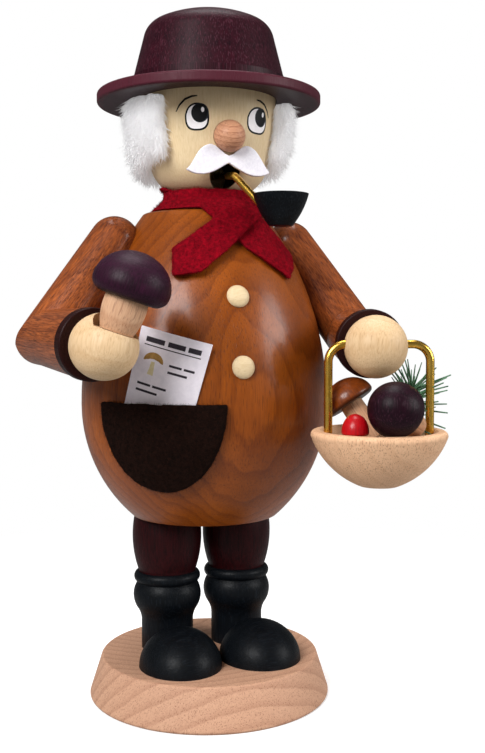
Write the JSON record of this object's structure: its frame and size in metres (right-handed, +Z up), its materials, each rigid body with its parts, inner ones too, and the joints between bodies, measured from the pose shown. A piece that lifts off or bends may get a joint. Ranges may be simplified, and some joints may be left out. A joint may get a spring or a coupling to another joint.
{
  "type": "incense smoker figure",
  "caption": "Turned wooden incense smoker: a mushroom gatherer with hat, pipe, scarf, pocket card and wire-handled basket, whose hollow body lifts off a stand for the cone.",
  "frame": {"origin": "middle of the round base's underside, on the table", "axes": "+Z up; the figure faces -Y and its own left hand, with the basket, is on +X"},
  "size_m": [0.1092, 0.1016, 0.2],
  "materials": {
    "beech": "oiled",
    "linden": "clear satin lacquer",
    "golden_brown_stain": "clear gloss lacquer over stain",
    "chestnut_stain": "clear gloss lacquer over stain",
    "burgundy_stain": "satin lacquer over stain",
    "dark_brown_stain": "satin lacquer over stain",
    "black_paint": "satin paint",
    "plain_wood": "bare",
    "aubergine_stain": "satin lacquer over stain",
    "tan_stain": "gloss lacquer over stain",
    "red_paint": "gloss paint",
    "white_felt": "pressed felt",
    "white_fur": "fluffy pile",
    "crimson_felt": "pressed felt",
    "brown_felt": "pressed felt",
    "brass_wire": "drawn",
    "tinned_sheet": "pressed",
    "card_stock": "printed matt card",
    "green_needles": "matt"
  },
  "bodies": {
    "stand": {"base_plate": "beech", "left_shoe": "black_paint", "right_shoe": "black_paint", "left_boot": "black_paint", "right_boot": "black_paint", "left_trouser_leg": "burgundy_stain", "right_trouser_leg": "burgundy_stain", "stand_plug": "plain_wood", "incense_dish": "tinned_sheet", "dish_tack": "tinned_sheet"},
    "figure": {"body_shell": "golden_brown_stain", "head": "linden", "nose": "beech", "hat": "burgundy_stain", "hair_strip": "white_fur", "moustache": "white_felt", "pipe_stem": "brass_wire", "pipe_bowl": "black_paint", "scarf": "crimson_felt", "upper_button": "linden", "lower_button": "linden", "pocket": "brown_felt", "left_upper_arm": "chestnut_stain", "right_upper_arm": "chestnut_stain", "left_forearm": "chestnut_stain", "right_forearm": "chestnut_stain", "left_cuff": "dark_brown_stain", "right_cuff": "dark_brown_stain", "left_hand": "linden", "right_hand": "linden", "left_shoulder_dowel": "plain_wood", "right_shoulder_dowel": "plain_wood", "held_mushroom_cap": "aubergine_stain", "held_mushroom_stem": "beech"},
    "card": {"guide_card": "card_stock"},
    "basket": {"basket_bowl": "beech", "basket_bail": "brass_wire", "tan_mushroom_cap": "tan_stain", "tan_mushroom_stem": "beech", "dark_mushroom_cap": "aubergine_stain", "dark_mushroom_stem": "beech", "red_mushroom": "red_paint", "fir_twig": "green_needles"}
  },
  "joints": [
    {"name": "body_lift", "type": "slide", "parent": "stand", "child": "figure", "axis": [0, 0, 1], "range_m": [0, 0.04]},
    {"name": "card_draw", "type": "slide", "parent": "figure", "child": "card", "axis": [0, 0, 1], "range_m": [0, 0.014]},
    {"name": "basket_swing", "type": "hinge", "parent": "figure", "child": "basket", "pos_m": [0.03499, -0.0415, 0.10405], "axis": [-0.9659, 0.2588, 0], "range_deg": [0, 40]}
  ]
}
